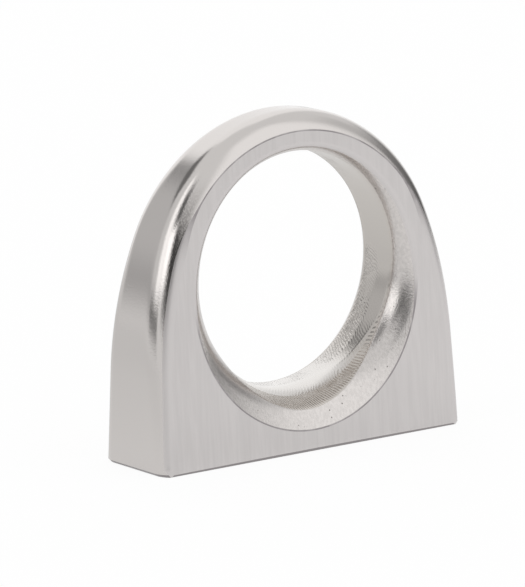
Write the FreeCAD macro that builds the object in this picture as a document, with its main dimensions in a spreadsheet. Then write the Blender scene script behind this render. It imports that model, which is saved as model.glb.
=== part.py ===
import FreeCAD, Part
import math
import os
import Sketcher

# Ring pull handle: one casting, an arch on a flat base with a round finger hole.
# Frame: millimetres, +X along the base, +Y towards the back, +Z up, origin under
# the middle of the base.

DRIVING_SIZES = {
    # outline of the arch, seen from the front
    "base_width": 45.0,
    "overall_height": 41.0,
    "arch_rise": 29.9,
    "shoulder_radius": 46.3,
    # wedge section, seen from the side
    "base_depth": 12.7,
    "face_taper": 3.83,
    "grinding_stock_base": 0.65,
    "grinding_stock_top": 0.02,
    "rim_rounding": 2.6,
    # finger hole
    "hole_diameter": 29.0,
    "hole_height": 21.6,
    "land_width": 3.9,
    "flare_radius": 2.9,
    "flare_sweep": 60.4,
    # base
    "screw_spacing": 32.0,
    "screw_core_diameter": 3.3,
    "screw_depth": 9.0,
    "drill_point_angle": 118.0,
    "base_edge_break": 0.2,
    # how far a cutting profile runs past the metal that it cuts
    "cut_margin": 3.0,
}

WORKED_OUT_SIZES = {
    "base_half": "base_width / 2",
    "side_height": "overall_height - arch_rise",
    "shoulder_inset": "shoulder_radius - base_half",
    "crown_radius": "(shoulder_radius ^ 2 - shoulder_inset ^ 2 - arch_rise ^ 2)"
                    " / (2 * (shoulder_radius - arch_rise))",
    "crown_height": "overall_height - crown_radius",
    "join_reach": "shoulder_radius - crown_radius",
    "join_across": "crown_radius * shoulder_inset / join_reach",
    "join_height": "crown_height + crown_radius * (crown_height - side_height) / join_reach",
    "face_half_base": "base_depth / 2",
    "face_half_top": "face_half_base - overall_height * tan(face_taper * 1 deg)",
    "cast_half_base": "face_half_base + grinding_stock_base",
    "cast_half_top": "face_half_top + grinding_stock_top",
    "blank_depth": "2 * (cast_half_base + cut_margin)",
    "cut_low": "-cut_margin",
    "cut_high": "overall_height + cut_margin",
    "cut_outside": "cast_half_base + 2 * cut_margin",
    "cast_half_low": "cast_half_base + cut_margin * (cast_half_base - cast_half_top) / overall_height",
    "cast_half_high": "cast_half_top - cut_margin * (cast_half_base - cast_half_top) / overall_height",
    "face_half_low": "face_half_base + cut_margin * tan(face_taper * 1 deg)",
    "face_half_high": "face_half_top - cut_margin * tan(face_taper * 1 deg)",
    "land_half": "land_width / 2",
    "hole_radius": "hole_diameter / 2",
    "flare_depth": "land_half + flare_radius * sin(flare_sweep * 1 deg)",
    "flare_mouth": "hole_radius + flare_radius * (1 - cos(flare_sweep * 1 deg))",
    "cone_depth": "flare_depth + cut_margin",
    "cone_mouth": "flare_mouth + cut_margin * tan(flare_sweep * 1 deg)",
    "screw_offset": "screw_spacing / 2",
    "break_high": "base_edge_break + cut_margin",
    "end_break_inner": "base_half - base_edge_break - cut_margin",
    "end_break_outer": "base_half + cut_margin",
    "face_break_inner": "face_half_base - base_edge_break - cut_margin",
    "face_break_outer": "face_half_base + cut_margin",
}

TOLERANCE = 1e-6


def make_sheet(doc):
    """Spreadsheet with the driving sizes as numbers and the others as formulas."""
    sheet = doc.addObject("Spreadsheet::Sheet", "Sizes")
    cells = [(name, str(value)) for name, value in DRIVING_SIZES.items()]
    cells += [(name, "=" + formula) for name, formula in WORKED_OUT_SIZES.items()]
    for row, (name, content) in enumerate(cells, start=1):
        sheet.set(f"A{row}", name)
        sheet.set(f"B{row}", content)
        sheet.setAlias(f"B{row}", name)
    doc.recompute()
    return sheet


def size(sheet, name):
    """Value of a size; a leading minus sign gives the mirrored value."""
    if name == "0":
        return 0.0
    sign = -1.0 if name.startswith("-") else 1.0
    value = sheet.get(name.lstrip("-"))
    return sign * float(getattr(value, "Value", value))


def formula(name):
    """Expression that reads a size from the sheet, mirrored or not."""
    return ("-" if name.startswith("-") else "") + "Sizes." + name.lstrip("-")


def sketch_on(body, plane_role, name):
    """Empty sketch on one of the body's own origin planes."""
    plane = next(f for f in body.Origin.OriginFeatures if f.Role == plane_role)
    sketch = body.newObject("Sketcher::SketchObject", name)
    sketch.AttachmentSupport = [(plane, "")]
    sketch.MapMode = "FlatFace"
    return sketch


def arc_between(start, end, radius):
    """Arc that turns left from start to end, shorter than a half circle."""
    middle = (start + end) / 2
    chord = end - start
    inward = FreeCAD.Vector(-chord.y, chord.x, 0).normalize()
    rise = math.sqrt(max(radius ** 2 - (chord.Length / 2) ** 2, 0.0))
    centre = middle + inward * rise
    angles = [math.atan2(p.y - centre.y, p.x - centre.x) for p in (start, end)]
    circle = Part.Circle(centre, FreeCAD.Vector(0, 0, 1), radius)
    return Part.ArcOfCircle(circle, *angles)


def pin(sketch, sheet, geometry, end, across, up):
    """Hold one end of a line or arc at the named sizes from the sketch's axes."""
    for kind, name, axis in (("DistanceX", across, -2), ("DistanceY", up, -1)):
        if name == "0":
            sketch.addConstraint(Sketcher.Constraint("PointOnObject", geometry, end, axis))
            continue
        place = size(sheet, name)
        row = sketch.addConstraint(Sketcher.Constraint(kind, -1, 1, geometry, end, place))
        sketch.setExpression(f"Constraints[{row}]", formula(name))


def draw_loop(sketch, sheet, corners, arcs=None):
    """Closed loop through corners, given as pairs of size names.

    arcs maps a side's number to its radius; a minus sign makes a hollow arc.
    """
    arcs = arcs or {}
    points = [FreeCAD.Vector(size(sheet, x), size(sheet, y), 0) for x, y in corners]
    ends = []
    for number, start in enumerate(points):
        finish = points[(number + 1) % len(points)]
        radius = arcs.get(number)
        if radius is None:
            index = sketch.addGeometry(Part.LineSegment(start, finish))
            ends.append((index, 1, 2))
            continue
        hollow = radius.startswith("-")
        first, last = (finish, start) if hollow else (start, finish)
        index = sketch.addGeometry(arc_between(first, last, abs(size(sheet, radius))))
        row = sketch.addConstraint(Sketcher.Constraint("Radius", index, abs(size(sheet, radius))))
        sketch.setExpression(f"Constraints[{row}]", formula(radius.lstrip("-")))
        ends.append((index, 2, 1) if hollow else (index, 1, 2))
    for number, (x, y) in enumerate(corners):
        index, start, _ = ends[number]
        before, _, finish = ends[number - 1]
        sketch.addConstraint(Sketcher.Constraint("Coincident", before, finish, index, start))
        pin(sketch, sheet, index, start, x, y)


def pad_blank(body, sheet):
    """Arch-shaped blank: upright sides, shoulder arcs and a crown arc, all tangent."""
    outline = sketch_on(body, "XZ_Plane", "ArchOutline")
    corners = [
        ("-base_half", "0"),
        ("base_half", "0"),
        ("base_half", "side_height"),
        ("join_across", "join_height"),
        ("-join_across", "join_height"),
        ("-base_half", "side_height"),
    ]
    arcs = {2: "shoulder_radius", 3: "crown_radius", 4: "shoulder_radius"}
    draw_loop(outline, sheet, corners, arcs)
    pad = body.newObject("PartDesign::Pad", "ArchBlank")
    pad.Profile = outline
    pad.Midplane = True
    pad.setExpression("Length", "Sizes.blank_depth")
    return pad


def cut_both_sides(body, sheet, name, plane_role, corners):
    """Cut a profile and its mirror image through the whole piece, square to one of its planes."""
    profile = sketch_on(body, plane_role, name + "Profile")
    for sign in ("", "-"):
        draw_loop(profile, sheet, [(sign + across, up) for across, up in corners])
    cut = body.newObject("PartDesign::Pocket", name)
    cut.Profile = profile
    cut.Type = "ThroughAll"
    cut.Midplane = True
    return cut


def cut_wedge(body, sheet, name, low, high):
    """Slope the front and back faces, each from its half depth low to high."""
    corners = [
        (low, "cut_low"),
        ("cut_outside", "cut_low"),
        ("cut_outside", "cut_high"),
        (high, "cut_high"),
    ]
    return cut_both_sides(body, sheet, name, "YZ_Plane", corners)


def round_rim(body, base):
    """Round the long edges of the rim, front and back, from base to crown to base."""
    edges = []
    for number, edge in enumerate(base.Shape.Edges, start=1):
        box = edge.BoundBox
        one_side = box.YMin * box.YMax > 0
        if one_side and box.ZMax > TOLERANCE:
            edges.append(f"Edge{number}")
    rounding = body.newObject("PartDesign::Fillet", "RimRounding")
    rounding.Base = (base, edges)
    rounding.setExpression("Radius", "Sizes.rim_rounding")
    return rounding


def turn_hole(body, sheet):
    """Finger hole: a straight land in the middle that flares to both faces."""
    profile = sketch_on(body, "YZ_Plane", "HoleProfile")
    profile.setExpression("AttachmentOffset.Base.y", "Sizes.hole_height")
    corners = [
        ("-cone_depth", "0"),
        ("cone_depth", "0"),
        ("cone_depth", "cone_mouth"),
        ("flare_depth", "flare_mouth"),
        ("land_half", "hole_radius"),
        ("-land_half", "hole_radius"),
        ("-flare_depth", "flare_mouth"),
        ("-cone_depth", "cone_mouth"),
    ]
    draw_loop(profile, sheet, corners, {3: "-flare_radius", 5: "-flare_radius"})
    hole = body.newObject("PartDesign::Groove", "FingerHole")
    hole.Profile = profile
    hole.ReferenceAxis = (profile, ["H_Axis"])
    hole.Angle = 360.0
    return hole


def drill_screw_holes(body, sheet):
    """Two blind core holes in the base for machine screws through a door or drawer front."""
    centres = sketch_on(body, "XY_Plane", "ScrewCentres")
    radius = size(sheet, "screw_core_diameter") / 2
    for sign in ("", "-"):
        place = FreeCAD.Vector(size(sheet, sign + "screw_offset"), 0, 0)
        index = centres.addGeometry(Part.Circle(place, FreeCAD.Vector(0, 0, 1), radius))
        pin(centres, sheet, index, 3, sign + "screw_offset", "0")
        row = centres.addConstraint(Sketcher.Constraint("Diameter", index, 2 * radius))
        centres.setExpression(f"Constraints[{row}]", "Sizes.screw_core_diameter")
    body.Document.recompute()
    holes = body.newObject("PartDesign::Hole", "ScrewHoles")
    holes.Profile = centres
    holes.Reversed = True
    holes.DepthType = "Dimension"
    holes.DrillPoint = "Angled"
    holes.setExpression("Diameter", "Sizes.screw_core_diameter")
    holes.setExpression("Depth", "Sizes.screw_depth")
    holes.setExpression("DrillPointAngle", "Sizes.drill_point_angle")
    return holes


def break_base_edges(body, sheet):
    """Small flat of 45 degrees along the base's four edges."""
    breaks = (("EndEdgeBreak", "XZ_Plane", "end"), ("FaceEdgeBreak", "YZ_Plane", "face"))
    for name, plane_role, side in breaks:
        corners = [
            (side + "_break_inner", "cut_low"),
            (side + "_break_outer", "cut_low"),
            (side + "_break_outer", "break_high"),
        ]
        cut_both_sides(body, sheet, name, plane_role, corners)


def make_ring_pull(doc, sheet):
    """The whole casting, in the order in which the real one is made."""
    body = doc.addObject("PartDesign::Body", "RingPull")
    body.Label = "ring_pull"
    pad_blank(body, sheet)
    cast = cut_wedge(body, sheet, "CastTaper", "cast_half_low", "cast_half_high")
    doc.recompute()
    round_rim(body, cast)
    doc.recompute()
    turn_hole(body, sheet)
    cut_wedge(body, sheet, "GroundFaces", "face_half_low", "face_half_high")
    doc.recompute()
    drill_screw_holes(body, sheet)
    doc.recompute()
    break_base_edges(body, sheet)
    doc.recompute()
    body.Placement = FreeCAD.Placement()
    return body


def check_document(doc, bodies):
    """Stop before anything is written if a feature failed or a shape is unsound."""
    for item in doc.Objects:
        if "Invalid" in item.State or "Error" in item.State:
            raise RuntimeError(f"{item.Name} failed: {item.State}")
    for body in bodies:
        shape = body.Shape
        if shape.isNull() or not shape.isValid() or len(shape.Solids) != 1:
            raise RuntimeError(f"{body.Label} is not one sound solid")


def main():
    doc = FreeCAD.newDocument("RingPullHandle")
    sheet = make_sheet(doc)
    bodies = [make_ring_pull(doc, sheet)]
    doc.recompute()
    check_document(doc, bodies)
    os.makedirs("parts", exist_ok=True)
    for body in bodies:
        body.Shape.exportStep(f"parts/{body.Label}.step")
        box = body.Shape.optimalBoundingBox()
        print(body.Label, f"{box.XLength:.3f} x {box.YLength:.3f} x {box.ZLength:.3f} mm,",
              f"{body.Shape.Volume:.1f} mm3")


main()
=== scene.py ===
import math
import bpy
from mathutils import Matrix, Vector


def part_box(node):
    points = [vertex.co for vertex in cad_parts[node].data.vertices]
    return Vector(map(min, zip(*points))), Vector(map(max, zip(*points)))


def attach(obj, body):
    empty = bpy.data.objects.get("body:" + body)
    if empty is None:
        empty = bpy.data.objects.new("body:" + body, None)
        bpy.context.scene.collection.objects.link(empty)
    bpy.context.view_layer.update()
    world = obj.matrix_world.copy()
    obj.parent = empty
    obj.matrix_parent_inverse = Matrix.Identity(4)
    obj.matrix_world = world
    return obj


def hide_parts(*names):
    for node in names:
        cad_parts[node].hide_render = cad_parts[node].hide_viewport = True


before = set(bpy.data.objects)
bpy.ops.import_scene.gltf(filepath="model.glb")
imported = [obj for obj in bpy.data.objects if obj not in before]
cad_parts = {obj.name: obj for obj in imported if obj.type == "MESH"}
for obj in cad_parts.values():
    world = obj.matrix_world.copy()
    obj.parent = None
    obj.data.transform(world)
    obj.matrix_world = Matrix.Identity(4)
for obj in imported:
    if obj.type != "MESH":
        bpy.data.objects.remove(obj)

from types import SimpleNamespace

import bmesh
import bpy
import numpy as np
from bpy.props import FloatProperty, FloatVectorProperty, PointerProperty
from mathutils import Matrix, Vector

bl_info = {
    "name": "Ring Pull Handle",
    "version": (1, 0, 0),
    "blender": (4, 5, 0),
    "location": "3D View > Sidebar > Ring Pull",
    "description": "Builds a cast ring pull in satin nickel with its studio",
    "category": "Add Mesh",
}

NODE = "ring_pull"
BODY = "root"
CAD_LOW, CAD_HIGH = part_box(NODE)
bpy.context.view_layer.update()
IMAGE_WIDTH = 525
IMAGE_HEIGHT = 587
SENSOR_WIDTH = 36.0
CLIP_START = 0.01
CLIP_END = 20.0

# mesh: angle between columns, and rows of each stretch of a section
COLUMN_STEP = math.radians(0.72)
SEARCH_STEPS = 40
ROWS = {"land": 12, "mouth": 8, "lead": 5, "flare": 16, "dish_crease": 4, "face": 10, "rim_crease": 4,
        "rim": 14, "wall": 10}
FINISHES = ("face", "cast", "bore", "lead", "dish", "dish_crease", "rim_crease", "base", "shaded_base_edge",
            "thread")
FINISH_OF_STRETCH = {"land": "bore", "mouth": "bore", "flare": "dish", "rim": "cast", "wall": "cast"}
FLAT = 1e-7

# heights round the hole, as sines, between which the dish's edge and the rim's crease change softness
SOFT_CREASE_FROM = -0.45
SOFT_CREASE_TO = 0.05
RIM_CREASE_FROM = 0.15
RIM_CREASE_TO = 0.6

# turned lead: reach to each side of the hole's bottom, and slopes from the hole's axis
LEAD_SPAN = math.radians(64)
LEAD_SLOPE_LEAST = math.radians(9)
LEAD_SLOPE_MOST = math.radians(36)

# tapped holes: points round a ring, rings in a pitch, and lengths in metres
THREAD_SIDES = 40
THREAD_STEPS = 8
THREAD_LEAD = 0.00012
THREAD_RUNOUT = 0.0007
SCREW_ROOM = 0.0031

# heights above the base between which the painted shade along a crease darkens
DISH_SHADE_CLEAR = 0.0195
DISH_SHADE_DARK = 0.0150
RIM_SHADE_CLEAR = 0.0240
RIM_SHADE_DARK = 0.0310

# painted dark reflection, grainy, in a strip beside a crease: depths behind the ground face and heights
# where it comes and goes
PAINTED_REFLECTION_FROM = (0.00006, 0.00034)
PAINTED_REFLECTION_TO = (0.00095, 0.00070)
PAINTED_REFLECTION_LOW = (0.0165, 0.0260)
PAINTED_REFLECTION_HIGH = (0.0350, 0.0285)

# heights from the hole's middle between which a painted highlight brightens the bore's floor
BORE_HIGHLIGHT_HEIGHTS = (-0.0108, -0.0136)

# tool marks: waves round the hole or along the base, and how the marks slant and wander
CHATTER_MARKS = 212.0
CHATTER_SLANT = -9400.0
CHATTER_WANDER = 12.0
LEAD_MARKS = 18000.0
LEAD_SLANT = 9000.0
LEAD_WANDER = 9.0

# range of a place in metres or of a noise, and the weights that it is carried to
CHATTER_LOW = (0.006, -0.009, 0.16, 1.0)
CHATTER_BEHIND = (-0.0003, 0.0005, 0.10, 1.0)
CHATTER_PATCHES = (0.35, 0.6, 0.35, 1.0)
PAINTED_REFLECTION_GRAIN = (0.3, 0.6, 0.55, 1.0)
CREASE_SHADE_PATCHES = (0.3, 0.6, 0.55, 1.0)
BRUSH_BAND = (0.3, 0.7)
MOTTLE_BAND = (0.35, 0.65)

# scales of the noises along x, y and z, per metre
NOISE = {
    "brush": (2600, 2600, 45),
    "brush_broad": (620, 620, 30),
    "skin": (6500, 6500, 4200),
    "painted_reflection": (5600, 5600, 3600),
    "chatter_wander": (700, 900, 700),
    "chatter_patch": (260, 200, 260),
    "lead_wander": (500, 500, 500),
    "dish": (5200, 4600, 4600),
    "mottle": (3400, 2200, 2200),
    "crease": (420, 420, 420),
    "base": (60, 3000, 60),
    "thread": (3000, 3000, 3000),
}
# heights of the bumps in metres
BUMP = {
    "brush": 0.000006,
    "skin": 0.000009,
    "chatter": 0.000045,
    "lead": 0.000012,
    "dish": 0.000016,
    "base": 0.000012,
    "thread": 0.000008,
}
# pits: cells in a metre, share of the cells with a pit, and largest pit in cells
FACE_PITS = (420, 0.012, 0.14)
DISH_PITS = (2600, 0.12, 0.23)

# levels of a plate's darker and lighter tones
BRUSH_SHARE = 0.6
FACE_TONES = (0.955, 1.03)
DISH_TONES = (0.94, 1.03)
BASE_TONE = 0.85
EDGE_SHADE_TONE = 0.9

FLOOR_UNDER_BASE = 0.001
FLOOR_GAP = 0.00002
FLOOR_ROUGHNESS = 0.9
FLOOR_SPECULAR = 0.1
FLOOR_WHITE = 1.03
FLOOR_SEEN = 0.9
FLOOR_IN_METAL = 0.85
FLOOR_AHEAD = (0.7, -0.7, 0.0)
FLOOR_TURN = 0.12

# soft panels of the dome: azimuth and elevation ranges and fade in degrees, and level
DOME_PANELS = (
    ("left_far", (-170, -126), (2, 38), 6, 0.58),
    ("left_wall", (-126, -104), (10, 60), 7, 0.72),
    ("back_corner", (-174, -136), (34, 55), 4, 0.18),
    ("backdrop", (-234, -177), (-4, 66), 5, 1.02),
    ("front_window", (2, 56), (14, 66), 10, 1.02),
    ("right_wall", (66, 98), (20, 40), 9, 0.62),
    ("right_gap", (70, 113), (-6, 22), 8, 0.24),
    ("skyline", (-150, -118), (3, 9), 4, 0.43),
    ("sill", (-120, -78), (2, 9), 4, 0.13),
    ("left_window", (-103, -84), (12, 62), 4, 1.30),
    ("room", (-62, -36), (8, 30), 6, 0.14),
    ("upper_room", (-77, -54), (31, 57), 6, 0.13),
    ("low_window", (-83, -55), (15, 34), 4, 1.50),
    ("doorway", (-48, -10), (6, 22), 5, 0.12),
)
# azimuth opposite the dome's seam, which lies beside the backdrop
DOME_MIDDLE = -62


def length(name, description, default):
    """Property for a length in metres."""
    return FloatProperty(name=name, description=description, default=default, min=0.0,
                         precision=5, subtype="DISTANCE", unit="LENGTH")


def angle(name, description, degrees):
    """Property for an angle, given in degrees."""
    return FloatProperty(name=name, description=description, default=math.radians(degrees),
                         subtype="ANGLE", unit="ROTATION")


def factor(name, description, default):
    """Property for a plain share between 0 and 1."""
    return FloatProperty(name=name, description=description, default=default, min=0.0, max=1.0,
                         subtype="FACTOR")


def colour(name, description, default):
    """Property for a linear colour."""
    return FloatVectorProperty(name=name, description=description, default=default, size=3,
                               min=0.0, max=1.0, subtype="COLOR")


class CastingSizes(bpy.types.PropertyGroup):
    """Sizes of the casting."""

    base_width: length("Base width", "Length of the base", CAD_HIGH.x - CAD_LOW.x)
    overall_height: length("Height", "From the base to the crown", CAD_HIGH.z - CAD_LOW.z)
    side_height: length("Side height", "Height of the upright ends", 0.0111)
    shoulder_radius: length("Shoulder radius", "Arc between an end and the crown", 0.0463)
    base_depth: length("Base depth", "Between the ground faces at the base", 0.0127)
    face_taper: angle("Face taper", "Lean of each ground face", 3.83)
    stock_base: length("Stock at base", "Metal ground off the cast face at the base", 0.00065)
    stock_top: length("Stock at top", "Metal ground off the cast face at the crown", 0.00002)
    rim_rounding: length("Rim rounding", "Cast rounding of the rim", 0.00315)
    base_rounding: length("Rounding at base", "Cast rounding of the rim beside the base and behind",
                          0.0026)
    rounding_height: length("Rounding height", "Where the rim's rounding is whole", 0.0160)
    hole_diameter: length("Hole diameter", "Finger hole at its turned land", 0.0290)
    throat_diameter: length("Throat diameter", "Cast throat that the turned land cuts away", 0.02819)
    hole_height: length("Hole height", "Middle of the finger hole above the base", 0.0216)
    land_width: length("Land width", "Turned stretch of the finger hole", 0.00536)
    flare_radius: length("Flare radius", "Rounding from the land into the dish", 0.0050)
    flare_sweep: angle("Flare sweep", "Slope of the dish from the hole's axis", 65.0)
    land_least: length("Least land", "Straight half of the land at the bottom of the hole", 0.0004)
    lead_width: length("Lead width", "Dish turned away below the land, at its widest", 0.0033)
    lead_least: length("Least lead", "Dish turned away beside the land, at its narrowest", 0.00018)
    rim_crease: length("Rim crease", "Softness of the crease over the crown", 0.00009)
    rim_blend: length("Rim blend", "Softness of the crease down the ends", 0.00070)
    dish_crease: length("Dish crease", "Softness of the dish's crease below the hole", 0.00010)
    dish_blend: length("Dish blend", "Softness of the dish's edge above the hole", 0.00042)
    base_break: length("Base edge break", "Broken edge round the base", 0.00035)
    screw_spacing: length("Screw spacing", "Between the two tapped holes", 0.032)
    screw_core: length("Screw core", "Core diameter of a tapped hole", 0.0033)
    screw_depth: length("Screw depth", "Depth of a tapped hole", 0.009)
    thread_pitch: length("Thread pitch", "Pitch of the thread", 0.0007)
    thread_depth: length("Thread depth", "Depth of the thread's groove", 0.00034)
    drill_point: angle("Drill point", "Angle of the drill's point", 118.0)


class FinishSettings(bpy.types.PropertyGroup):
    """Colours and roughness of the nickel plate."""

    nickel: colour("Nickel", "Brushed plate on the ground faces", (0.705, 0.676, 0.668))
    cast_nickel: colour("Cast nickel", "Plate on the cast rim", (0.715, 0.682, 0.662))
    # colour of the painted dark reflection in the strip beside a crease
    painted_reflection_nickel: colour("Raw nickel", "Unpolished cast skin beside a crease", (0.29, 0.275, 0.265))
    # colour of the painted highlight on the bore's floor
    bore_highlight: colour("Bore floor", "Plate at the bottom of the turned hole", (0.80, 0.775, 0.75))
    bore_nickel: colour("Bore nickel", "Plate in the turned hole", (0.67, 0.635, 0.60))
    lead_nickel: colour("Lead nickel", "Turned lead between land and dish", (0.66, 0.62, 0.58))
    # colour of the painted shade along a crease and round the base's broken edge
    painted_shade_nickel: colour("Crease", "Plate along a crease", (0.36, 0.335, 0.34))
    pit: colour("Pit", "Inside of a casting pit", (0.16, 0.145, 0.135))
    steel: colour("Thread", "Bare metal of the tapped holes", (0.52, 0.51, 0.50))
    face_roughness: factor("Face roughness", "Roughness of the ground faces", 0.30)
    cast_roughness: factor("Cast roughness", "Roughness of the cast rim", 0.12)
    bore_roughness: factor("Bore roughness", "Roughness of the turned hole", 0.22)
    dish_roughness: factor("Dish roughness", "Roughness of the dish", 0.22)


class StudioSettings(bpy.types.PropertyGroup):
    """Camera, floor and light of the studio."""

    azimuth: angle("Camera azimuth", "Camera's direction round the pull", -36.42)
    elevation: angle("Camera elevation", "Camera's height above the base", 11.345)
    roll: angle("Camera roll", "Turn of the camera about its own axis", -0.930)
    distance: length("Camera distance", "From the camera to its target", 0.600)
    target_height: length("Target height", "Height that the camera turns round", 0.021)
    pixels_per_metre: FloatProperty(name="Image scale", default=8299.0,
                                    description="Pixels a metre spans at the target")
    target_column: FloatProperty(name="Target column", default=282.54,
                                 description="Image column of the target", subtype="PIXEL")
    target_row: FloatProperty(name="Target row", default=271.77,
                              description="Image row of the target", subtype="PIXEL")
    floor_reach: length("Floor reach", "Floor before, behind and right of the pull", 0.70)
    floor_left: length("Floor on the left", "Floor left of the pull", 0.24)
    floor_colour: colour("Floor", "Pale floor", (0.86, 0.86, 0.86))
    floor_front: factor("Floor in front", "Level of the floor before the pull, as the metal mirrors it",
                        0.97)
    floor_behind: factor("Floor behind", "Level of the floor behind the pull, as the metal mirrors it",
                         0.71)
    dome: factor("Dome", "Level of the soft dome", 0.78)


def worked_out(sizes):
    """Places that follow from the casting's sizes."""
    form = SimpleNamespace()
    form.base_half = sizes.base_width / 2
    form.base_break = sizes.base_break
    form.height = sizes.overall_height
    form.side_height = sizes.side_height
    form.shoulder = sizes.shoulder_radius
    form.inset = form.shoulder - form.base_half
    rise = form.height - form.side_height
    form.crown = (form.shoulder ** 2 - form.inset ** 2 - rise ** 2) / (2 * (form.shoulder - rise))
    form.crown_z = form.height - form.crown
    reach = form.shoulder - form.crown
    form.join_x = form.crown * form.inset / reach
    form.join_z = form.crown_z + form.crown * (form.crown_z - form.side_height) / reach
    form.face_base = sizes.base_depth / 2
    form.face_slope = math.tan(sizes.face_taper)
    cast_top = form.face_base - form.height * form.face_slope + sizes.stock_top
    form.cast_base = form.face_base + sizes.stock_base
    form.cast_slope = (form.cast_base - cast_top) / form.height
    form.cast_taper = math.atan(form.cast_slope)
    form.rounding = sizes.rim_rounding
    form.base_rounding = sizes.base_rounding
    form.rounding_height = sizes.rounding_height
    form.rim_crease = sizes.rim_crease
    form.rim_blend = sizes.rim_blend
    form.dish_crease = sizes.dish_crease
    form.dish_blend = sizes.dish_blend
    form.hole_z = sizes.hole_height
    form.hole_radius = sizes.hole_diameter / 2
    form.land_half = sizes.land_width / 2
    form.flare_radius = sizes.flare_radius
    form.flare_sweep = sizes.flare_sweep
    land_cut = (sizes.hole_diameter - sizes.throat_diameter) / 2
    form.flare_start = math.acos(1 - land_cut / sizes.flare_radius)
    form.flare_arc = form.flare_radius * (form.flare_sweep - form.flare_start)
    form.land_least = sizes.land_least
    form.lead_width = sizes.lead_width
    form.lead_least = sizes.lead_least
    form.corner_angle = math.atan2(form.base_break - form.hole_z, form.base_half)
    form.side_angle = math.atan2(form.side_height - form.hole_z, form.base_half)
    form.join_angle = math.atan2(form.join_z - form.hole_z, form.join_x)
    return form


def smooth_step(value, low, high):
    """Smooth rise from 0 at low to 1 at high."""
    share = np.clip((value - low) / (high - low), 0, 1)
    return share * share * (3 - 2 * share)


def find_crossing(difference, low, high):
    """Where each of many falling differences passes zero, by halving."""
    for _ in range(SEARCH_STEPS):
        middle = (low + high) / 2
        beyond = difference(middle) < 0
        high = np.where(beyond, middle, high)
        low = np.where(beyond, low, middle)
    return (low + high) / 2


def column_angles(form):
    """Angles round the hole, from straight down over the right side to straight up."""
    keys = [-math.pi / 2, form.corner_angle, form.side_angle, form.join_angle, math.pi / 2]
    angles = [keys[0]]
    corner = 0
    for number, (start, end) in enumerate(zip(keys, keys[1:])):
        count = max(1, round((end - start) / COLUMN_STEP))
        angles.extend(start + (end - start) * (k + 1) / count for k in range(count))
        if number == 0:
            corner = count
    return np.array(angles), corner


def ray_to_circle(form, angles, centre, radius):
    """Distance from the hole's middle to a circle, along each angle."""
    to_x, to_z = centre[0], centre[1] - form.hole_z
    along = to_x * np.cos(angles) + to_z * np.sin(angles)
    return along + np.sqrt(along ** 2 - to_x ** 2 - to_z ** 2 + radius ** 2)


def arch_outline(form, angles, front):
    """Point, outward normal and rounding of the arch's outline at each angle, ends and crown only."""
    shoulder_centre = (-form.inset, form.side_height)
    crown_centre = (0.0, form.crown_z)
    on_side = angles <= form.side_angle
    on_crown = angles >= form.join_angle
    reach = ray_to_circle(form, angles, shoulder_centre, form.shoulder)
    reach = np.where(on_crown, ray_to_circle(form, angles, crown_centre, form.crown), reach)
    reach = np.where(on_side, form.base_half / np.cos(angles), reach)
    x = reach * np.cos(angles)
    z = form.hole_z + reach * np.sin(angles)
    normal_x = np.where(on_crown, x / form.crown, (x + form.inset) / form.shoulder)
    normal_z = np.where(on_crown, z - form.crown_z, 0) / form.crown
    normal_z = np.where(on_crown, normal_z, (z - form.side_height) / form.shoulder)
    normal_x = np.where(on_side, 1.0, normal_x)
    normal_z = np.where(on_side, 0.0, normal_z)
    whole = front * smooth_step(z, 0, form.rounding_height)
    rounding = form.base_rounding + (form.rounding - form.base_rounding) * whole
    return SimpleNamespace(x=x, z=z, normal_x=normal_x, normal_z=normal_z, rounding=rounding)


def rim_point(form, edge, turn):
    """Point of the front rounding: turn 0 is at the wall, turn 1 at the cast face."""
    r = edge.rounding
    lean = form.cast_taper
    span = np.arccos(edge.normal_z * math.sin(lean))
    to_wall = np.sin((1 - turn) * span) / np.sin(span)
    to_face = np.sin(turn * span) / np.sin(span)
    centre_z = edge.z - r * edge.normal_z
    centre_y = r / math.cos(lean) - (form.cast_base - centre_z * form.cast_slope)
    x = edge.x - r * edge.normal_x + r * to_wall * edge.normal_x
    y = centre_y - r * to_face * math.cos(lean)
    z = centre_z + r * (to_wall * edge.normal_z + to_face * math.sin(lean))
    # on the upright ends the sections turn level towards the base
    level = np.clip(1 - edge.z / form.side_height, 0, 1)
    lift = (z - edge.z) * level
    return np.stack([x, y - lift * form.cast_slope, z - lift], axis=-1)


def ring_point(form, angles, radius, depth):
    """Point round the hole's axis, at a depth in front of the middle."""
    return np.stack([radius * np.cos(angles), -depth, form.hole_z + radius * np.sin(angles)], axis=-1)


def flare_point(form, angles, travel):
    """Point of the front flare, at a distance along its profile from the land."""
    arc = np.minimum(travel, form.flare_arc)
    straight = travel - arc
    turn = form.flare_start + arc / form.flare_radius
    depth = (form.land_half + form.flare_radius * (np.sin(turn) - math.sin(form.flare_start))
             + straight * math.cos(form.flare_sweep))
    radius = (form.hole_radius + form.flare_radius * (math.cos(form.flare_start) - np.cos(turn))
              + straight * math.sin(form.flare_sweep))
    return ring_point(form, angles, radius, depth)


def depth_in_face(form, points):
    """How far inside the front ground face a point lies; negative outside."""
    return points[..., 1] + form.face_base - points[..., 2] * form.face_slope


def rounded_crease(before, crease, after, count):
    """Rows that round a crease between a point before it and a point after it."""
    rows = []
    for step in range(count):
        t = step / count
        rows.append((1 - t) ** 2 * before + 2 * t * (1 - t) * crease + t * t * after)
    return rows


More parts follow.
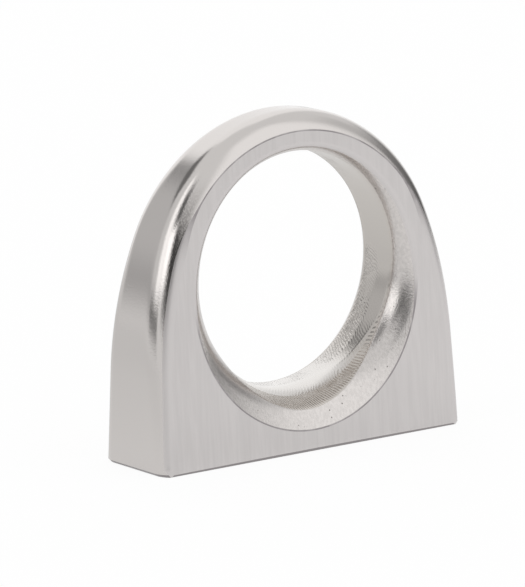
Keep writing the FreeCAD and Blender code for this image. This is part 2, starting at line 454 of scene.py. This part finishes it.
def section_rows(form, angles, corner, front):
    """One half of every section, from the land's middle to the wall's middle.

    With front 1 it has the turned lead below the land and the fuller rounding of the rim, and with
    front 0 neither. Returns the rows as points for each column, and the name of the stretch after
    each row.
    """
    edge = arch_outline(form, angles[corner:], front)
    zero = np.zeros(len(angles) - corner)
    crease_turn = find_crossing(lambda t: depth_in_face(form, rim_point(form, edge, t)), zero, zero + 1)
    longest = form.flare_arc + form.base_half
    start = np.zeros(len(angles))
    dish_end = find_crossing(lambda s: depth_in_face(form, flare_point(form, angles, s)),
                             start, start + longest)
    share = np.clip(np.cos(angles[:corner]) / -np.sin(angles[:corner]), 0, None)
    share = share / share[-1] * (1 - form.base_break / form.base_half)

    def with_base(points):
        """Adds the base's columns: the corner's section, drawn in towards the middle."""
        level = np.repeat(points[:1], corner, axis=0)
        level[:, 0] *= share
        level[:, 2] = 0.0
        return np.concatenate([level, points])

    blend = smooth_step(np.sin(angles), SOFT_CREASE_FROM, SOFT_CREASE_TO)
    dish_soft = (form.dish_crease + (form.dish_blend - form.dish_crease) * blend)[:, None]
    crisp = smooth_step(np.sin(angles), RIM_CREASE_FROM, RIM_CREASE_TO)
    rim_soft = (form.rim_blend + (form.rim_crease - form.rim_blend) * crisp)[:, None]
    rim_soft[:corner + 1] = form.base_break
    rim_back = crease_turn - rim_soft[corner:, 0] / (edge.rounding * math.pi / 2)
    bottom = front * (1 - smooth_step(angles + math.pi / 2, 0, LEAD_SPAN))
    lead_to = form.lead_least + (form.lead_width - form.lead_least) * bottom
    lead_slope = LEAD_SLOPE_LEAST + (LEAD_SLOPE_MOST - LEAD_SLOPE_LEAST) * bottom

    dish_edge = flare_point(form, angles, dish_end)
    rim_edge = with_base(rim_point(form, edge, crease_turn))
    across = rim_edge - dish_edge
    across = across / np.linalg.norm(across, axis=1, keepdims=True)
    face_from = dish_edge + across * dish_soft
    face_to = rim_edge - across * rim_soft
    flare_to = dish_end - dish_soft[:, 0]
    lead_edge = flare_point(form, angles, lead_to)
    lead_depth = -lead_edge[:, 1]
    lead_rise = np.hypot(lead_edge[:, 0], lead_edge[:, 2] - form.hole_z) - form.hole_radius
    bend_depth = lead_depth - lead_rise / np.tan(lead_slope)
    land_straight = form.land_half + (form.land_least - form.land_half) * bottom
    land_depth = np.minimum(land_straight, bend_depth - FLAT)
    land_edge = ring_point(form, angles, form.hole_radius, land_depth)
    lead_bend = ring_point(form, angles, form.hole_radius, bend_depth)
    turned = rounded_crease(land_edge, lead_bend, lead_edge, ROWS["mouth"] + ROWS["lead"])
    wall_edge = with_base(rim_point(form, edge, zero))

    half_land = ROWS["land"] // 2
    half_wall = ROWS["wall"] // 2
    stretches = {
        "land": [land_edge * (1, step / half_land, 1) for step in range(half_land)],
        "mouth": turned[:ROWS["mouth"]],
        "lead": turned[ROWS["mouth"]:],
        "flare": [flare_point(form, angles, lead_to + (flare_to - lead_to) * step / ROWS["flare"])
                  for step in range(ROWS["flare"])],
        "dish_crease": rounded_crease(flare_point(form, angles, flare_to), dish_edge, face_from,
                                      ROWS["dish_crease"]),
        "face": [face_from + (face_to - face_from) * step / ROWS["face"]
                 for step in range(ROWS["face"])],
        "rim_crease": rounded_crease(face_to, rim_edge, with_base(rim_point(form, edge, rim_back)),
                                     ROWS["rim_crease"]),
        "rim": [with_base(rim_point(form, edge, rim_back * (1 - step / ROWS["rim"])))
                for step in range(ROWS["rim"])],
        "wall": [wall_edge * (1, 1 - step / half_wall, 1) for step in range(half_wall + 1)],
    }
    rows, names = [], []
    for name, new_rows in stretches.items():
        rows.extend(new_rows)
        names.extend([name] * len(new_rows))
    return rows, names


def ring_grid(form):
    """Points of the casting as a grid: columns round the hole, rows round the section.

    Also returns the stretch of each row's quads and the corner's column.
    """
    angles, corner = column_angles(form)
    front, names = section_rows(form, angles, corner, 1)
    plain, _ = section_rows(form, angles, corner, 0)
    back = [row * (1, -1, 1) for row in plain[-2:0:-1]]
    right = np.stack(front + back, axis=1)
    left = right[-2:0:-1] * (-1, 1, 1)
    grid = np.concatenate([right, left])
    return grid, names[:-1] + names[-2::-1], corner


def finish_of_quads(names, corner, columns):
    """Finish number of each quad of the grid, column by column."""
    finish = np.empty((columns, len(names)), dtype=np.int32)
    for row, name in enumerate(names):
        finish[:, row] = FINISHES.index(FINISH_OF_STRETCH.get(name, name))
        if name in ("rim_crease", "rim", "wall"):
            outer = {"rim", "wall"} & set(names[row - 1:row + 2])
            # the crease rows under the base, and the outer rows at the corner, take the painted shade
            # of the broken edge
            finish[:corner, row] = FINISHES.index("shaded_base_edge" if name == "rim_crease" else "base")
            finish[corner - 1, row] = FINISHES.index("shaded_base_edge" if outer else name)
            finish[columns - corner:, row] = finish[corner - 1::-1, row]
    return finish


def thread_rings(sizes):
    """Rings of points of one tapped hole, from its mouth up, and the height of the drill's point."""
    core = sizes.screw_core / 2
    around = np.linspace(0, 2 * math.pi, THREAD_SIDES, endpoint=False)
    mouth = core + sizes.thread_depth + THREAD_LEAD
    step = sizes.thread_pitch / THREAD_STEPS
    rings = []
    for number in range(round(sizes.screw_depth / step) + 1):
        z = number * step
        phase = (z / sizes.thread_pitch - around / (2 * math.pi)) % 1.0
        groove = np.clip(2 * np.abs(2 * phase - 1) - 0.5, 0, 1)
        fade = smooth_step(sizes.screw_depth - z, THREAD_RUNOUT, 2 * THREAD_RUNOUT)
        radius = np.maximum(core + sizes.thread_depth * groove * fade, mouth - z)
        ring = [radius * np.cos(around), radius * np.sin(around), np.full(THREAD_SIDES, z)]
        rings.append(np.stack(ring, axis=-1))
    return rings, sizes.screw_depth + core / math.tan(sizes.drill_point / 2)


def tap_hole(mesh, sizes, place):
    """Open the base round a screw's place and join a tapped hole to it."""
    opened = []
    for face in mesh.faces:
        middle = face.calc_center_median()
        near = abs(middle.x - place) < SCREW_ROOM and abs(middle.y) < SCREW_ROOM
        if near and all(abs(vert.co.z) < FLAT for vert in face.verts):
            opened.append(face)
    bmesh.ops.delete(mesh, geom=opened, context="FACES")
    points, tip_height = thread_rings(sizes)
    rings = [[mesh.verts.new((place + x, y, z)) for x, y, z in ring] for ring in points]
    tip = mesh.verts.new((place, 0, tip_height))
    for k in range(THREAD_SIDES):
        after = (k + 1) % THREAD_SIDES
        walls = [mesh.faces.new((low[after], low[k], high[k], high[after]))
                 for low, high in zip(rings, rings[1:])]
        walls.append(mesh.faces.new((rings[-1][after], rings[-1][k], tip)))
        for wall in walls:
            wall.material_index = FINISHES.index("thread")
            wall.smooth = True
    border = [edge for edge in mesh.edges if edge.is_boundary]
    filled = bmesh.ops.triangle_fill(mesh, use_beauty=True, edges=border)
    for item in filled["geom"]:
        if isinstance(item, bmesh.types.BMFace):
            item.material_index = FINISHES.index("base")


def build_casting(context):
    """The casting's mesh from its grid, with its tapped holes."""
    sizes = context.scene.ring_pull_sizes
    grid, names, corner = ring_grid(worked_out(sizes))
    columns, rows = grid.shape[:2]
    index = np.arange(columns * rows).reshape(columns, rows)
    after = np.roll(index, -1, axis=0)
    quads = np.stack([index, after, np.roll(after, -1, axis=1), np.roll(index, -1, axis=1)], axis=-1)
    mesh = bpy.data.meshes.new("ring_pull_casting")
    mesh.from_pydata(grid.reshape(-1, 3).tolist(), [], quads.reshape(-1, 4).tolist())
    mesh.shade_smooth()
    mesh.polygons.foreach_set("material_index", finish_of_quads(names, corner, columns).reshape(-1))
    shape = bmesh.new()
    shape.from_mesh(mesh)
    for side in (1, -1):
        tap_hole(shape, sizes, side * sizes.screw_spacing / 2)
    bmesh.ops.recalc_face_normals(shape, faces=shape.faces)
    shape.to_mesh(mesh)
    shape.free()
    casting = bpy.data.objects.new("ring_pull_casting", mesh)
    context.scene.collection.objects.link(casting)
    return casting


def add_node(tree, kind, settings=None, inputs=None):
    """New shader node with its settings and the values or links of its inputs."""
    node = tree.nodes.new("ShaderNode" + kind)
    for name, value in (settings or {}).items():
        setattr(node, name, value)
    for name, value in (inputs or {}).items():
        if isinstance(value, bpy.types.NodeSocket):
            tree.links.new(value, node.inputs[name])
        else:
            node.inputs[name].default_value = value
    return node


def math_node(tree, operation, first, second=0.0):
    """Output of one sum with two numbers."""
    return add_node(tree, "Math", {"operation": operation}, {0: first, 1: second}).outputs["Value"]


def map_range(tree, value, low, high, to_low=0.0, to_high=1.0):
    """Value carried smoothly from one range to another."""
    ranges = {"Value": value, "From Min": low, "From Max": high, "To Min": to_low, "To Max": to_high}
    return add_node(tree, "MapRange", {"interpolation_type": "SMOOTHSTEP"}, ranges).outputs["Result"]


def mix_colour(tree, share, first, second):
    """Colour between two colours."""
    node = add_node(tree, "Mix", {"data_type": "RGBA"})
    sockets = {socket.identifier: socket for socket in node.inputs}
    for name, value in (("Factor_Float", share), ("A_Color", first), ("B_Color", second)):
        if isinstance(value, bpy.types.NodeSocket):
            tree.links.new(value, sockets[name])
        else:
            sockets[name].default_value = (*value, 1.0)
    return next(socket for socket in node.outputs if socket.identifier == "Result_Color")


def stretched_noise(tree, place, scale, detail=2.0):
    """Noise on the object's own coordinates, with a scale along each axis."""
    mapped = add_node(tree, "Mapping", None, {"Vector": place, "Scale": scale})
    inputs = {"Vector": mapped.outputs["Vector"], "Scale": 1.0, "Detail": detail}
    return add_node(tree, "TexNoise", None, inputs).outputs["Fac"]


def new_metal(name, base, roughness):
    """Metal with its colour and roughness; also returns its tree, shader and object coordinates."""
    material = bpy.data.materials.new(name)
    material.use_nodes = True
    tree = material.node_tree
    shader = tree.nodes["Principled BSDF"]
    shader.inputs["Base Color"].default_value = (*base, 1.0)
    shader.inputs["Metallic"].default_value = 1.0
    shader.inputs["Roughness"].default_value = roughness
    return material, tree, shader, add_node(tree, "TexCoord").outputs["Object"]


def add_bump(tree, shader, height, distance):
    """Bump of the given height in metres on a shader."""
    bump = add_node(tree, "Bump", None, {"Height": height, "Distance": distance})
    tree.links.new(bump.outputs["Normal"], shader.inputs["Normal"])


def pit_mask(tree, place, scale, share, spread):
    """Small round pits, 1 inside a pit; the given share of the cells have one."""
    cells = add_node(tree, "TexVoronoi", None, {"Vector": place, "Scale": scale})
    chance = add_node(tree, "SeparateColor", None, {"Color": cells.outputs["Color"]})
    has_pit = math_node(tree, "LESS_THAN", chance.outputs["Red"], share)
    size = math_node(tree, "MULTIPLY", chance.outputs["Green"], spread)
    inside = math_node(tree, "LESS_THAN", cells.outputs["Distance"], size)
    return math_node(tree, "MULTIPLY", has_pit, inside)


def shade(base, level):
    """Colour at another level."""
    return [channel * level for channel in base]


def brushed_face(finish):
    """Ground faces: faint upright brush lines and a few pits."""
    material, tree, shader, place = new_metal("brushed_face", finish.nickel, finish.face_roughness)
    lines = stretched_noise(tree, place, NOISE["brush"], 4.0)
    broad = stretched_noise(tree, place, NOISE["brush_broad"])
    tone = math_node(tree, "ADD", math_node(tree, "MULTIPLY", lines, BRUSH_SHARE),
                     math_node(tree, "MULTIPLY", broad, 1 - BRUSH_SHARE))
    dark, light = (shade(finish.nickel, level) for level in FACE_TONES)
    plate = mix_colour(tree, map_range(tree, tone, *BRUSH_BAND), dark, light)
    pits = pit_mask(tree, place, *FACE_PITS)
    tree.links.new(mix_colour(tree, pits, plate, finish.pit), shader.inputs["Base Color"])
    add_bump(tree, shader, lines, BUMP["brush"])
    return material


def cast_skin(finish, form):
    """Cast rim: a fine grain under the plate, and a painted dark reflection, grainy, in a strip beside
    the ground faces' creases.
    """
    material, tree, shader, place = new_metal("cast_skin", finish.cast_nickel, finish.cast_roughness)
    axes = add_node(tree, "SeparateXYZ", None, {"Vector": place})
    height = axes.outputs["Z"]
    lean = math_node(tree, "MULTIPLY", height, form.face_slope)
    face = math_node(tree, "SUBTRACT", form.face_base, lean)
    depth = math_node(tree, "SUBTRACT", face, math_node(tree, "ABSOLUTE", axes.outputs["Y"]))
    # painted dark reflection: the rim darkens in a grainy strip beside the crease, between two depths
    # and two heights
    strip = math_node(tree, "MULTIPLY", map_range(tree, depth, *PAINTED_REFLECTION_FROM),
                      map_range(tree, depth, *PAINTED_REFLECTION_TO))
    level = math_node(tree, "MULTIPLY", map_range(tree, height, *PAINTED_REFLECTION_LOW),
                      map_range(tree, height, *PAINTED_REFLECTION_HIGH))
    grain = map_range(tree, stretched_noise(tree, place, NOISE["painted_reflection"], 3.0), *PAINTED_REFLECTION_GRAIN)
    painted_reflection = math_node(tree, "MULTIPLY", math_node(tree, "MULTIPLY", strip, level), grain)
    plate = mix_colour(tree, painted_reflection, finish.cast_nickel, finish.painted_reflection_nickel)
    tree.links.new(plate, shader.inputs["Base Color"])
    add_bump(tree, shader, stretched_noise(tree, place, NOISE["skin"]), BUMP["skin"])
    return material


def turned_bore(finish, form):
    """Turned land: slanted chatter marks, strongest low in the hole and behind its front edge, and a
    painted highlight that brightens the bore's floor.
    """
    material, tree, shader, place = new_metal("turned_bore", finish.bore_nickel, finish.bore_roughness)
    axes = add_node(tree, "SeparateXYZ", None, {"Vector": place})
    x, y = axes.outputs["X"], axes.outputs["Y"]
    z = math_node(tree, "SUBTRACT", axes.outputs["Z"], form.hole_z)
    phase = math_node(tree, "MULTIPLY", math_node(tree, "ARCTAN2", z, x), CHATTER_MARKS)
    phase = math_node(tree, "ADD", phase, math_node(tree, "MULTIPLY", y, CHATTER_SLANT))
    wander = stretched_noise(tree, place, NOISE["chatter_wander"])
    phase = math_node(tree, "ADD", phase, math_node(tree, "MULTIPLY", wander, CHATTER_WANDER))
    low = map_range(tree, z, *CHATTER_LOW)
    behind = map_range(tree, y, *CHATTER_BEHIND)
    patches = stretched_noise(tree, place, NOISE["chatter_patch"], 1.0)
    patches = map_range(tree, patches, *CHATTER_PATCHES)
    weight = math_node(tree, "MULTIPLY", math_node(tree, "MULTIPLY", low, behind), patches)
    marks = math_node(tree, "MULTIPLY", math_node(tree, "SINE", phase), weight)
    # painted highlight: the bore's colour brightens towards the floor of the hole
    plate = mix_colour(tree, map_range(tree, z, *BORE_HIGHLIGHT_HEIGHTS), finish.bore_nickel, finish.bore_highlight)
    tree.links.new(plate, shader.inputs["Base Color"])
    add_bump(tree, shader, marks, BUMP["chatter"])
    return material


def turned_lead(finish):
    """Turned lead between the land and the dish: fine slanted tool marks."""
    material, tree, shader, place = new_metal("turned_lead", finish.lead_nickel, finish.bore_roughness)
    axes = add_node(tree, "SeparateXYZ", None, {"Vector": place})
    phase = math_node(tree, "ADD", math_node(tree, "MULTIPLY", axes.outputs["X"], LEAD_MARKS),
                      math_node(tree, "MULTIPLY", axes.outputs["Y"], LEAD_SLANT))
    wander = stretched_noise(tree, place, NOISE["lead_wander"])
    phase = math_node(tree, "ADD", phase, math_node(tree, "MULTIPLY", wander, LEAD_WANDER))
    add_bump(tree, shader, math_node(tree, "SINE", phase), BUMP["lead"])
    return material


def dish_skin(finish):
    """Dish and flare: cast skin, mottled and with small pits."""
    material, tree, shader, place = new_metal("dish_skin", finish.cast_nickel, finish.dish_roughness)
    mottle = map_range(tree, stretched_noise(tree, place, NOISE["mottle"], 3.0), *MOTTLE_BAND)
    dark, light = (shade(finish.cast_nickel, level) for level in DISH_TONES)
    plate = mix_colour(tree, mottle, dark, light)
    pits = pit_mask(tree, place, *DISH_PITS)
    tree.links.new(mix_colour(tree, pits, plate, finish.pit), shader.inputs["Base Color"])
    add_bump(tree, shader, stretched_noise(tree, place, NOISE["dish"], 3.0), BUMP["dish"])
    return material


def painted_crease_shade(finish, name, clear, dark):
    """Crease: painted shade along the crease, in patches, darkening from one height above the base to
    another.
    """
    material, tree, shader, place = new_metal(name, finish.painted_shade_nickel, finish.face_roughness)
    height = add_node(tree, "SeparateXYZ", None, {"Vector": place}).outputs["Z"]
    patchy = map_range(tree, stretched_noise(tree, place, NOISE["crease"]), *CREASE_SHADE_PATCHES)
    share = math_node(tree, "MULTIPLY", map_range(tree, height, clear, dark), patchy)
    plate = mix_colour(tree, share, finish.nickel, finish.painted_shade_nickel)
    tree.links.new(plate, shader.inputs["Base Color"])
    return material


def ground_base(finish):
    """Underside: ground flat, with lines along the base."""
    material, tree, shader, place = new_metal("ground_base", finish.nickel, finish.face_roughness)
    lines = stretched_noise(tree, place, NOISE["base"], 3.0)
    plate = mix_colour(tree, lines, shade(finish.nickel, BASE_TONE), finish.nickel)
    tree.links.new(plate, shader.inputs["Base Color"])
    add_bump(tree, shader, lines, BUMP["base"])
    return material


def painted_edge_shade(finish):
    """Broken edge round the base, with painted shade along it."""
    return new_metal("painted_edge_shade", shade(finish.painted_shade_nickel, EDGE_SHADE_TONE), finish.face_roughness)[0]


def tapped_thread(finish):
    """Bare metal in the tapped holes."""
    material, tree, shader, place = new_metal("tapped_thread", finish.steel, finish.face_roughness)
    add_bump(tree, shader, stretched_noise(tree, place, NOISE["thread"]), BUMP["thread"])
    return material


class RINGPULL_OT_casting(bpy.types.Operator):
    """Build the casting with its finish."""

    bl_idname = "ring_pull.casting"
    bl_label = "Casting"

    def execute(self, context):
        casting = build_casting(context)
        finish = context.scene.ring_pull_finish
        form = worked_out(context.scene.ring_pull_sizes)
        metals = {
            "face": brushed_face(finish),
            "cast": cast_skin(finish, form),
            "bore": turned_bore(finish, form),
            "lead": turned_lead(finish),
            "dish": dish_skin(finish),
            # the two crease finishes carry painted shade along their creases
            "dish_crease": painted_crease_shade(finish, "dish_crease", DISH_SHADE_CLEAR, DISH_SHADE_DARK),
            "rim_crease": painted_crease_shade(finish, "rim_crease", RIM_SHADE_CLEAR, RIM_SHADE_DARK),
            "base": ground_base(finish),
            "shaded_base_edge": painted_edge_shade(finish),
            "thread": tapped_thread(finish),
        }
        for name in FINISHES:
            casting.data.materials.append(metals[name])
        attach(casting, BODY)
        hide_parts(NODE)
        return {"FINISHED"}


def direction(azimuth, elevation):
    """Unit vector towards an azimuth, where 0 is the front and plus is right, and an elevation."""
    flat = math.cos(elevation)
    return Vector((math.sin(azimuth) * flat, -math.cos(azimuth) * flat, math.sin(elevation)))


def add_camera(context):
    """Camera at the photograph's viewing angle."""
    studio = context.scene.ring_pull_studio
    data = bpy.data.cameras.new("studio_camera")
    camera = bpy.data.objects.new("studio_camera", data)
    context.scene.collection.objects.link(camera)
    back = direction(studio.azimuth, studio.elevation)
    target = Vector((0, 0, studio.target_height))
    turn = (-back).to_track_quat("-Z", "Y").to_matrix() @ Matrix.Rotation(studio.roll, 3, "Z")
    camera.matrix_world = Matrix.Translation(target + back * studio.distance) @ turn.to_4x4()
    longest = max(IMAGE_WIDTH, IMAGE_HEIGHT)
    data.sensor_width = SENSOR_WIDTH
    data.lens = studio.pixels_per_metre * studio.distance * SENSOR_WIDTH / longest
    data.shift_x = (IMAGE_WIDTH / 2 - studio.target_column) / longest
    data.shift_y = (studio.target_row - IMAGE_HEIGHT / 2) / longest
    data.clip_start = CLIP_START
    data.clip_end = CLIP_END
    context.scene.camera = camera


def within(tree, value, limits, fade):
    """1 where an angle lies between two limits in degrees, fading to 0 outside them."""
    middle = math.radians(sum(limits) / 2)
    half = math.radians((limits[1] - limits[0]) / 2)
    soft = math.radians(fade)
    away = math_node(tree, "ABSOLUTE", math_node(tree, "SUBTRACT", value, middle))
    return map_range(tree, away, half + soft, half - soft)


def add_dome(context):
    """World: a soft dome with brighter and darker panels, and white behind the pull."""
    studio = context.scene.ring_pull_studio
    world = bpy.data.worlds.new("studio_dome")
    world.use_nodes = True
    tree = world.node_tree
    turned = add_node(tree, "Mapping", None, {"Vector": add_node(tree, "TexCoord").outputs["Generated"],
                                              "Rotation": (0, 0, -math.radians(DOME_MIDDLE))})
    axes = add_node(tree, "SeparateXYZ", None, {"Vector": turned.outputs["Vector"]})
    forward = math_node(tree, "MULTIPLY", axes.outputs["Y"], -1.0)
    around = math_node(tree, "ARCTAN2", axes.outputs["X"], forward)
    height = math_node(tree, "ARCSINE", axes.outputs["Z"])
    level = studio.dome
    for _, azimuths, elevations, fade, panel in DOME_PANELS:
        from_middle = [azimuth - DOME_MIDDLE for azimuth in azimuths]
        share = math_node(tree, "MULTIPLY", within(tree, around, from_middle, fade),
                          within(tree, height, elevations, fade))
        level = add_node(tree, "Mix", None, {"Factor": share, "A": level, "B": panel}).outputs["Result"]
    dome = tree.nodes["Background"]
    dome.inputs["Color"].default_value = (1, 1, 1, 1)
    tree.links.new(level, dome.inputs["Strength"])
    white = add_node(tree, "Background", None, {"Color": (1, 1, 1, 1), "Strength": 1.0})
    rays = add_node(tree, "LightPath")
    seen = math_node(tree, "MAXIMUM", rays.outputs["Is Camera Ray"],
                     rays.outputs["Is Transmission Ray"])
    both = add_node(tree, "MixShader", None, {0: seen, 1: dome.outputs[0], 2: white.outputs[0]})
    tree.links.new(both.outputs[0], tree.nodes["World Output"].inputs["Surface"])
    context.scene.world = world


def add_floor(context):
    """Pale floor, open under the base, that stays white to the camera and keeps a soft shadow."""
    studio = context.scene.ring_pull_studio
    reach, left = studio.floor_reach, studio.floor_left
    hole_x = CAD_HIGH.x - FLOOR_UNDER_BASE
    hole_y = CAD_HIGH.y - FLOOR_UNDER_BASE
    mesh = bpy.data.meshes.new("studio_floor")
    outside = [(-left, -reach), (reach, -reach), (reach, reach), (-left, reach)]
    inside = [(-hole_x, -hole_y), (hole_x, -hole_y), (hole_x, hole_y), (-hole_x, hole_y)]
    strips = [(k, (k + 1) % 4, 4 + (k + 1) % 4, 4 + k) for k in range(4)]
    mesh.from_pydata([(x, y, -FLOOR_GAP) for x, y in outside + inside], [], strips)
    floor = bpy.data.objects.new("studio_floor", mesh)
    context.scene.collection.objects.link(floor)
    material = bpy.data.materials.new("pale_floor")
    material.use_nodes = True
    tree = material.node_tree
    shader = tree.nodes["Principled BSDF"]
    shader.inputs["Base Color"].default_value = (*studio.floor_colour, 1.0)
    shader.inputs["Roughness"].default_value = FLOOR_ROUGHNESS
    shader.inputs["Specular IOR Level"].default_value = FLOOR_SPECULAR
    white = add_node(tree, "Emission", None, {"Color": (1, 1, 1, 1), "Strength": FLOOR_WHITE})
    place = add_node(tree, "TexCoord").outputs["Object"]
    ahead = add_node(tree, "VectorMath", {"operation": "DOT_PRODUCT"}, {0: place, 1: FLOOR_AHEAD})
    level = map_range(tree, ahead.outputs["Value"], -FLOOR_TURN, FLOOR_TURN, studio.floor_behind,
                      studio.floor_front)
    mirrored = add_node(tree, "Emission", None, {"Color": (1, 1, 1, 1), "Strength": level})
    rays = add_node(tree, "LightPath")
    camera = math_node(tree, "MULTIPLY", rays.outputs["Is Camera Ray"], FLOOR_SEEN)
    glossy = math_node(tree, "MULTIPLY", rays.outputs["Is Glossy Ray"], FLOOR_IN_METAL)
    in_metal = add_node(tree, "MixShader", None,
                        {0: glossy, 1: shader.outputs[0], 2: mirrored.outputs[0]})
    whole = add_node(tree, "MixShader", None, {0: camera, 1: in_metal.outputs[0], 2: white.outputs[0]})
    tree.links.new(whole.outputs[0], tree.nodes["Material Output"].inputs["Surface"])
    mesh.materials.append(material)


class RINGPULL_OT_stage(bpy.types.Operator):
    """Set up the studio: floor, light and camera."""

    bl_idname = "ring_pull.stage"
    bl_label = "Studio"

    def execute(self, context):
        add_camera(context)
        add_dome(context)
        add_floor(context)
        context.scene.view_settings.view_transform = "Standard"
        return {"FINISHED"}


class RINGPULL_PT_panel(bpy.types.Panel):
    """Sizes, finish and steps of the ring pull."""

    bl_label = "Ring Pull"
    bl_space_type = "VIEW_3D"
    bl_region_type = "UI"
    bl_category = "Ring Pull"

    def draw(self, context):
        layout = self.layout
        scene = context.scene
        for settings in (scene.ring_pull_sizes, scene.ring_pull_finish, scene.ring_pull_studio):
            box = layout.box()
            for name in settings.__annotations__:
                box.prop(settings, name)
        layout.operator(RINGPULL_OT_casting.bl_idname)
        layout.operator(RINGPULL_OT_stage.bl_idname)


CLASSES = (CastingSizes, FinishSettings, StudioSettings, RINGPULL_OT_casting, RINGPULL_OT_stage,
           RINGPULL_PT_panel)


def register():
    for cls in CLASSES:
        bpy.utils.register_class(cls)
    bpy.types.Scene.ring_pull_sizes = PointerProperty(type=CastingSizes)
    bpy.types.Scene.ring_pull_finish = PointerProperty(type=FinishSettings)
    bpy.types.Scene.ring_pull_studio = PointerProperty(type=StudioSettings)


def unregister():
    del bpy.types.Scene.ring_pull_studio
    del bpy.types.Scene.ring_pull_finish
    del bpy.types.Scene.ring_pull_sizes
    for cls in reversed(CLASSES):
        bpy.utils.unregister_class(cls)


def main():
    register()
    bpy.ops.ring_pull.casting()
    bpy.ops.ring_pull.stage()


if __name__ == "__main__":
    main()
